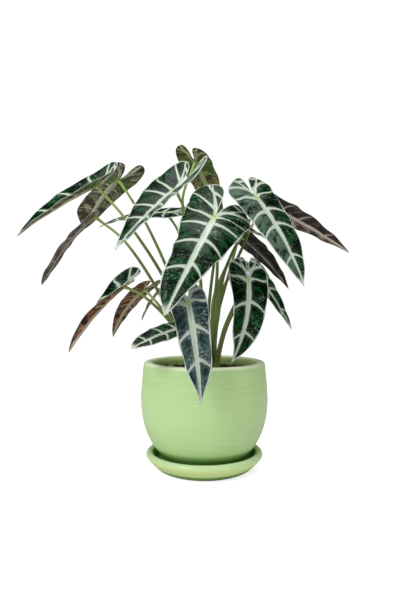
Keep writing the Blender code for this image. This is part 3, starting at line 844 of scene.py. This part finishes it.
def blade(name, leaf):
    grids = []
    for side in (1, -1):
        grids.append(patch(leaf, side, True, 26, 104))
        grids.append(patch(leaf, side, False, 8, 30))
    alone(grids[0])
    for piece in grids:
        piece.select_set(True)
    bpy.ops.object.join()
    piece = named("blade_" + name)
    bpy.ops.object.mode_set(mode="EDIT")
    bpy.ops.mesh.select_all(action="SELECT")
    bpy.ops.mesh.remove_doubles(threshold=0.00003)
    bpy.ops.mesh.normals_make_consistent(inside=False)
    bpy.ops.object.mode_set(mode="OBJECT")
    top = blade_turn(leaf)[3]
    if sum((face.normal * face.area for face in piece.data.polygons), Vector()).dot(top) < 0.0:
        bpy.ops.object.mode_set(mode="EDIT")
        bpy.ops.mesh.select_all(action="SELECT")
        bpy.ops.mesh.flip_normals()
        bpy.ops.object.mode_set(mode="OBJECT")
    bpy.ops.object.shade_smooth()
    marks = {}
    for mark in MARKS:
        values = np.zeros(len(piece.data.vertices), dtype=np.float32)
        piece.data.attributes[mark].data.foreach_get("value", values)
        marks[mark] = values
    fold = np.abs(marks["phase"] - np.round(marks["phase"]))
    ribs = np.exp(-(marks["rib"] * 1.1) ** 2)
    sides = 0.4 * np.exp(-(fold * marks["gap"] * 0.9) ** 2)
    thick = np.clip(np.maximum(ribs, sides) * smoothstep(0.0, 2.0, marks["edge"]), 0.0, 1.0)
    thick = thick * (1.0 - 0.7 * np.clip(marks["along"], 0.0, 1.0))
    group = piece.vertex_groups.new(name="thick")
    for index, weight in enumerate(thick):
        group.add([index], float(weight), "REPLACE")
    solid = piece.modifiers.new("thickness", "SOLIDIFY")
    solid.thickness = BLADE_THICK
    solid.offset = -1.0
    solid.vertex_group = "thick"
    solid.thickness_vertex_group = 0.16
    solid.material_offset = 1
    solid.use_even_offset = False
    piece.data.materials.append(TOPS[leaf["top"]])
    piece.data.materials.append(UNDERS[leaf["under"]])
    bpy.ops.object.modifier_apply(modifier=solid.name)
    return piece


# %% [markdown]
# ## Leaf markings
#
# Both sides of a leaf show the same pattern, so it is a node group: the ribs and side veins, the
# thin edge, the fresh green spot where the stalk joins, the pale tip, and a halo beside the veins,
# which the top uses for painted sheen.
# Streaks and finer silk run out with the veins, because their noise reads the vein phase and the way
# out, not the place alone.  The group only turns the mesh's numbers into masks and heights; each
# side's material gives them colour.

# %% Leaf markings
def leaf_markings():
    tree = bpy.data.node_groups.new("leaf markings", "ShaderNodeTree")
    names = ("Ribs", "Veins", "Edge", "Heart", "Tip", "Streaks", "Silk", "Cloud", "Halo", "Height")
    for name in names:
        tree.interface.new_socket(name=name, in_out="OUTPUT", socket_type="NodeSocketFloat")
    group_end = tree.nodes.new("NodeGroupOutput")
    n = Nodes(tree)
    place = n.add("TexCoord").outputs["Object"]
    rib, phase, gap, edge, along, out = (n.attribute(name) for name in MARKS[:6])
    tremble = n.maths("SUBTRACT", n.noise(place, 420.0, detail=2.0), 0.5)
    rib_distance = n.maths("ADD", rib, n.maths("MULTIPLY", tremble, 0.55))
    ribs = n.mask(rib_distance, 1.12, 0.80)
    turn = n.maths("PINGPONG", phase, 0.5)
    vein_distance = n.maths("ADD", n.maths("MULTIPLY", turn, gap), n.maths("MULTIPLY", tremble, 0.7))
    veins = n.mask(vein_distance, 1.25, 0.65)
    margin = n.mask(n.maths("ADD", edge, n.maths("MULTIPLY", tremble, 0.6)), 1.45, 0.8)
    heart = n.mask(n.maths("ADD", n.maths("ABSOLUTE", along), n.maths("MULTIPLY", out, 0.8)), 0.16, 0.0)
    tip = n.mask(along, 0.88, 0.97)
    drift = n.maths("MULTIPLY", n.noise(place, 60.0, detail=1.0), 1.2)
    across = n.maths("ADD", n.maths("MULTIPLY", phase, 7.0), drift)
    broad_silk = n.add("CombineXYZ", {"X": across, "Y": n.maths("MULTIPLY", out, 1.8),
                                      "Z": n.maths("MULTIPLY", rib, 0.1)}).outputs[0]
    streaks = n.noise(broad_silk, 1.0, detail=3.0, roughness=0.6)
    fine = n.maths("ADD", n.maths("MULTIPLY", phase, 30.0), n.maths("MULTIPLY", drift, 2.0))
    fine_silk = n.add("CombineXYZ", {"X": fine, "Y": n.maths("MULTIPLY", out, 6.0),
                                     "Z": n.maths("MULTIPLY", rib, 0.3)}).outputs[0]
    silk = n.noise(fine_silk, 1.0, detail=3.0, roughness=0.65)
    cloud = n.noise(place, 46.0, detail=3.0)
    swell = n.maths("MULTIPLY", n.maths("MINIMUM", vein_distance, 3.0), 0.18)
    height = n.maths("ADD", swell, n.maths("MULTIPLY", streaks, 0.6))
    height = n.maths("ADD", height, n.maths("MULTIPLY", silk, 0.5))
    halo = n.maths("MAXIMUM", n.mask(vein_distance, 3.2, 0.9), n.mask(rib_distance, 2.2, 0.9))
    height = n.maths("MULTIPLY", height, n.maths("SUBTRACT", 1.0, n.maths("MULTIPLY", ribs, 0.9)))
    results = (ribs, veins, margin, heart, tip, streaks, silk, cloud, halo, height)
    for index, value in enumerate(results):
        tree.links.new(value, group_end.inputs[index])
    return tree


MARKINGS = leaf_markings()


# %% [markdown]
# ## Two sides of a leaf
#
# The top is deep green and glossy, with cream veins and a pale edge.  Grey silky patches along the
# streaks and a pale halo beside the veins are painted sheen: a cooler, paler green painted where the
# gloss would catch the light.  On some leaves one half is silvered, partly its own silver and partly
# painted sheen.  The underside is duller and warmer, from bronze to plum, with veins that are only a
# little lighter, dark stripes between them, and dark freckles where the leaf is old.  On one leaf the
# right half is darkened with painted shade, and the darkest underside is partly painted shade.

# %% Top and underside finishes
def top_finish(name, dark, mid, sheen, roughness, silver_and_sheen=(0.0, 0.0)):
    """The top side; the last pair says how much of the right and left half is silvered, partly painted
    sheen.
    """
    material, n, shader = finish(name, roughness)
    marks = n.add("Group", node_tree=MARKINGS).outputs
    tone = n.blend(n.mask(marks["Streaks"], 0.44, 0.64), dark, mid)
    # painted sheen: silk streaks in cloudy patches, and the halo by the veins, turn a paler grey-green
    # where the gloss would shine
    glint = n.maths("MULTIPLY", n.mask(marks["Silk"], 0.53, 0.66), n.mask(marks["Cloud"], 0.42, 0.60))
    glint = n.maths("ADD", n.maths("MULTIPLY", glint, 0.85), n.maths("MULTIPLY", marks["Halo"], 0.16))
    tone = n.blend(n.maths("MINIMUM", glint, 0.9), tone, sheen)
    # one half is silvered, partly the leaf's own silver and partly painted sheen: a paler grey-green
    # along the streaks
    right, left = silver_and_sheen
    silver_and_sheen_share = n.add("MapRange", {"Value": n.attribute("half"), "To Min": left, "To Max": right})
    silver_and_sheen_share = silver_and_sheen_share.outputs[0]
    silver_and_sheen_share = n.maths("MULTIPLY", silver_and_sheen_share, n.mask(marks["Streaks"], 0.36, 0.56))
    tone = n.blend(silver_and_sheen_share, tone, shade(94, 118, 100))
    tone = n.blend(marks["Veins"], tone, shade(182, 194, 178))
    tone = n.blend(marks["Ribs"], tone, shade(190, 202, 186))
    tone = n.blend(marks["Edge"], tone, shade(204, 213, 200))
    tone = n.blend(n.maths("MULTIPLY", marks["Tip"], 0.85), tone, shade(214, 216, 204))
    glow = n.maths("MULTIPLY", marks["Heart"], n.maths("MAXIMUM", marks["Ribs"], 0.25))
    tone = n.blend(glow, tone, shade(160, 196, 104))
    bump = n.add("Bump", {"Height": marks["Height"], "Strength": 0.7, "Distance": 0.0011}).outputs[0]
    gloss = n.add("MapRange", {"Value": marks["Streaks"], "From Min": 0.3, "From Max": 0.7,
                               "To Min": roughness - 0.08, "To Max": roughness + 0.08}).outputs[0]
    feed(n, shader, Base_Color=tone, Normal=bump, Roughness=gloss)
    shader.inputs["Specular IOR Level"].default_value = 0.09
    return material


def under_finish(name, main, second, vein, green, contrast=0.9, freckles=0.3, shaded_half=0.0):
    """The underside; green shows near the stalk, and the last number lays painted shade over the right
    half.
    """
    material, n, shader = finish(name, 0.55)
    marks = n.add("Group", node_tree=MARKINGS).outputs
    place = n.add("TexCoord").outputs["Object"]
    freckled = n.mask(n.noise(place, 620.0, detail=2.0), 0.56, 0.64)
    deep = n.maths("MULTIPLY", n.mask(marks["Streaks"], 0.55, 0.47), contrast)
    ridges = n.maths("MULTIPLY", n.mask(marks["Silk"], 0.50, 0.64), 0.6)
    tone = n.blend(n.mask(marks["Cloud"], 0.40, 0.62), main, second)
    tone = n.blend(ridges, tone, vein)
    # a dark tone for the stripes, freckles and edge, and for the painted shade over one half
    dark_and_shade = tuple(0.12 * level for level in main[:3]) + (1.0,)
    tone = n.blend(deep, tone, dark_and_shade)
    tone = n.blend(n.maths("MULTIPLY", freckled, freckles), tone, dark_and_shade)
    # painted shade: the right half, which lies in shade, is darkened along its streaks
    half_shade = n.maths("MULTIPLY", n.attribute("half"), n.mask(marks["Streaks"], 0.72, 0.56))
    tone = n.blend(n.maths("MULTIPLY", half_shade, shaded_half), tone, dark_and_shade)
    tone = n.blend(n.maths("MULTIPLY", marks["Veins"], 0.6), tone, vein)
    tone = n.blend(marks["Ribs"], tone, vein)
    tone = n.blend(n.maths("MULTIPLY", marks["Edge"], 0.6), tone, dark_and_shade)
    near = n.mask(n.maths("ABSOLUTE", n.attribute("along")), 0.24, 0.0)
    tone = n.blend(n.maths("MULTIPLY", near, 0.75), tone, green)
    tone = n.blend(marks["Heart"], tone, shade(150, 178, 88))
    bump = n.add("Bump", {"Height": marks["Height"], "Strength": 0.6, "Distance": 0.0011}).outputs[0]
    feed(n, shader, Base_Color=tone, Normal=bump)
    shader.inputs["Specular IOR Level"].default_value = 0.3
    return material


GREENS = (shade(0, 12, 2), shade(4, 64, 22), shade(120, 144, 124), 0.26)
TOPS = {
    "deep": top_finish("deep green leaf", *GREENS),
    "silver and sheen right": top_finish("green leaf, pale right half", *GREENS, (0.72, 0.0)),
    "silver and sheen left": top_finish("green leaf, pale left half", *GREENS, (0.0, 0.80)),
    "silver": top_finish(
        "silvered leaf", shade(24, 48, 46), shade(70, 94, 92), shade(170, 184, 182), 0.34),
}

UNDERS = {
    "bronze": under_finish(
        "bronze underside", shade(112, 108, 76), shade(150, 142, 114), shade(184, 184, 154),
        shade(76, 110, 34)),
    "olive": under_finish(
        "olive underside", shade(96, 104, 52), shade(142, 124, 80), shade(176, 192, 122),
        shade(70, 118, 34)),
    "plum": under_finish(
        "plum underside", shade(100, 82, 76), shade(146, 130, 122), shade(176, 164, 154),
        shade(100, 96, 66), 0.55, 0.35),
    # the dark underside is partly painted shade: the leaf's own near-black is made darker for an
    # underside that faces away from the light above
    "black": under_finish(
        "dark underside", shade(16, 12, 11), shade(30, 22, 19), shade(84, 74, 64),
        shade(50, 54, 26)),
    "russet": under_finish(
        "russet underside", shade(128, 78, 56), shade(172, 122, 92), shade(196, 168, 138),
        shade(116, 92, 54), 0.95, 0.85),
    # the striped underside's right half is darkened with painted shade
    "striped": under_finish(
        "striped underside", shade(118, 90, 80), shade(170, 140, 126), shade(206, 186, 172),
        shade(30, 24, 20), 1.0, 0.2, 0.9),
}
print("leaf finishes:", [*TOPS, *UNDERS])


# %% Every blade
for leaf_name, leaf in LEAVES.items():
    piece = blade(leaf_name, leaf)
    kept(piece, "blade", "leaf_" + leaf_name)
    low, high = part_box("leaf_" + leaf_name)
    places = np.array([vertex.co for vertex in piece.data.vertices])
    print(leaf_name, "off its frame box by mm:", np.round((places.min(0) - np.array(low)) * 1000, 1),
          np.round((places.max(0) - np.array(high)) * 1000, 1))


# %% [markdown]
# ## Stalks
#
# A stalk is a smooth rod that grows from a broad sheath at the crown, thins upwards and bends into
# the back of the blade.  A grid is rolled up around the stalk's route: its rows become rings, each
# square to the route, and its first and last column meet.  Low rings are wide and flat, which makes
# the sheath.  One stalk still holds a young leaf rolled up in its sheath, so it swells higher up.

# %% A stalk
STALK_SIDES = 16
STALK_RINGS = 56
STALK_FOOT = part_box("crown")[1].z - 0.004
STALK_RISE = 0.009
STALK_JOIN = 0.0012
COLLAR_START = 0.93


def stalk(name, leaf):
    """A stalk from inside the crown to the underside of its blade; it swells into a collar there."""
    base = Vector((*leaf["base"], STALK_FOOT))
    route = [base, base + Vector((0.0, 0.0, STALK_RISE)), *leaf["via"], leaf["junction"]]
    points = rounded(route, 16)
    steps = np.array([0.0] + [(b - a).length for a, b in zip(points, points[1:])]).cumsum()
    total = steps[-1] - STALK_JOIN
    alone()
    bpy.ops.mesh.primitive_grid_add(
        x_subdivisions=STALK_SIDES, y_subdivisions=STALK_RINGS, size=1.0, location=(0.0, 0.0, 0.0))
    piece = named("stalk_of_" + name)
    path = np.array(points)
    ahead = np.gradient(path, axis=0)
    outward = Vector((base.x, base.y, 0.0)).normalized()
    along, around = [], []
    for vertex in piece.data.vertices:
        share = vertex.co.y + 0.5
        angle = (vertex.co.x + 0.5) * 2.0 * math.pi
        target = share * total
        middle = Vector([np.interp(target, steps, path[:, axis]) for axis in range(3)])
        line = Vector([np.interp(target, steps, ahead[:, axis]) for axis in range(3)]).normalized()
        flank = line.cross(outward).normalized()
        depth = flank.cross(line)
        broad = max(0.0, 1.0 - share / leaf["sheath"]) ** 1.4
        collar = max(0.0, share - COLLAR_START) / (1.0 - COLLAR_START)
        thick = 0.00155 + 0.0010 * (1.0 - share) + 0.0008 * collar
        centre, spread, amount = leaf["bulge"]
        swollen = amount * math.exp(-((share - centre) / spread) ** 2)
        # a swollen sheath is broad to the left and right of the plant's best side
        if swollen > 0.05:
            flank = flank.lerp(line.cross(Vector((0.0, -1.0, 0.0))).normalized(), min(1.0, swollen))
            depth = flank.cross(line)
        broad += swollen
        sideways = thick * (1.0 + 1.3 * broad) * math.cos(angle)
        inward = thick * (1.0 + 0.25 * broad) * math.sin(angle)
        vertex.co = middle + flank * sideways + depth * inward
        along.append(share)
        around.append(angle)
    for mark, values in (("along", along), ("around", around)):
        attribute = piece.data.attributes.new(mark, "FLOAT", "POINT")
        attribute.data.foreach_set("value", values)
    bpy.ops.object.mode_set(mode="EDIT")
    bpy.ops.mesh.select_all(action="SELECT")
    bpy.ops.mesh.remove_doubles(threshold=0.00002)
    bpy.ops.mesh.select_all(action="DESELECT")
    bpy.ops.mesh.select_non_manifold()
    bpy.ops.mesh.fill_holes(sides=0)
    bpy.ops.mesh.select_all(action="SELECT")
    bpy.ops.mesh.normals_make_consistent(inside=False)
    bpy.ops.object.mode_set(mode="OBJECT")
    bpy.ops.object.shade_smooth_by_angle(angle=math.radians(60.0))
    return piece


# %% Stalk finish
skin, s, skin_shader = finish("stalk skin", 0.42)
length = s.attribute("along")
angle = s.attribute("around")
place = s.add("TexCoord").outputs["Object"]
fibre_place = s.add("CombineXYZ", {
    "X": s.maths("MULTIPLY", s.maths("COSINE", angle), 3.0),
    "Y": s.maths("MULTIPLY", s.maths("SINE", angle), 3.0),
    "Z": s.maths("MULTIPLY", length, 2.5)}).outputs[0]
fibres = s.noise(fibre_place, 2.4, detail=3.0)
blotch = s.noise(place, 90.0, detail=2.0)
tone = s.blend(s.mask(fibres, 0.35, 0.68), shade(84, 102, 40), shade(138, 156, 74))
tone = s.blend(s.maths("MULTIPLY", s.mask(blotch, 0.50, 0.70), 0.5), tone, shade(104, 96, 50))
# partly the sheaths' paler green and partly painted light: the sheaths lie in the leaves' shade and are
# painted lighter
tone = s.blend(s.maths("MULTIPLY", s.mask(length, 0.30, 0.0), 0.65), tone, shade(140, 158, 92))
# partly the stalk's own yellow-green near the blade and partly a painted highlight where the light
# catches the upper stalks
tone = s.blend(s.mask(length, 0.66, 0.98), tone, shade(172, 194, 102))
bump = s.add("Bump", {"Height": fibres, "Strength": 0.5, "Distance": 0.0004}).outputs["Normal"]
feed(s, skin_shader, Base_Color=tone, Normal=bump)

for leaf_name, leaf in LEAVES.items():
    piece = stalk(leaf_name, leaf)
    piece.data.materials.append(skin)
    kept(piece, "stalk", "stalk_" + leaf_name)


# %% [markdown]
# ## The crown
#
# All stalks rise from one short crown that just shows above the mix, wrapped in the dry remains of
# old sheaths.  It is a low mound turned like the pottery, then pushed out of round with noise.

# %% The crown
crown_low, crown_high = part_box("crown")
crown_radius = crown_high.x
dome = [(crown_radius * math.cos(angle), crown_low.z - 0.002 + 0.0062 * math.sin(angle))
        for angle in (math.radians(degrees) for degrees in range(0, 88, 8))]
crown = turned("crown_sheaths", [(crown_radius * 0.9, crown_low.z - 0.004), *dome])
for vertex in crown.data.vertices:
    turn = math.atan2(vertex.co.y, vertex.co.x)
    ridge = 0.5 + 0.5 * math.cos(9.0 * turn + 3.0 * noise.noise(vertex.co * 50.0))
    above_rim = max(0.0, vertex.co.z - crown_low.z + 0.002)
    vertex.co.z += (0.0016 * ridge - 0.0012) * min(1.0, 60.0 * above_rim)

# %% Dry sheath finish
husk, h, husk_shader = finish("dry sheath", 0.75)
place = h.add("TexCoord").outputs["Object"]
upright = h.add("Mapping", {"Vector": place, "Scale": (1.0, 1.0, 0.3)}).outputs["Vector"]
grain = h.noise(upright, 420.0, detail=3.0)
patchy = h.noise(place, 80.0, detail=2.0)
tone = h.blend(h.mask(grain, 0.35, 0.68), shade(70, 58, 36), shade(128, 116, 76))
tone = h.blend(h.mask(patchy, 0.42, 0.62), tone, shade(104, 112, 58))
bump = h.add("Bump", {"Height": grain, "Strength": 0.6, "Distance": 0.0008}).outputs["Normal"]
feed(h, husk_shader, Base_Color=tone, Normal=bump)
crown.data.materials.append(husk)
kept(crown, "crown", "crown")

# %% [markdown]
# ## Sizes
#
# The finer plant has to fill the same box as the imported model.  Both boxes are written down, so
# that they can be compared after each render.

# %% Sizes
bpy.context.view_layer.update()
shown_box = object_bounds()
for axis in range(3):
    ends = [round(box[end][axis] * 1000, 1) for box in (cad_box, shown_box) for end in (0, 1)]
    print("XYZ"[axis], "mm:", ends)
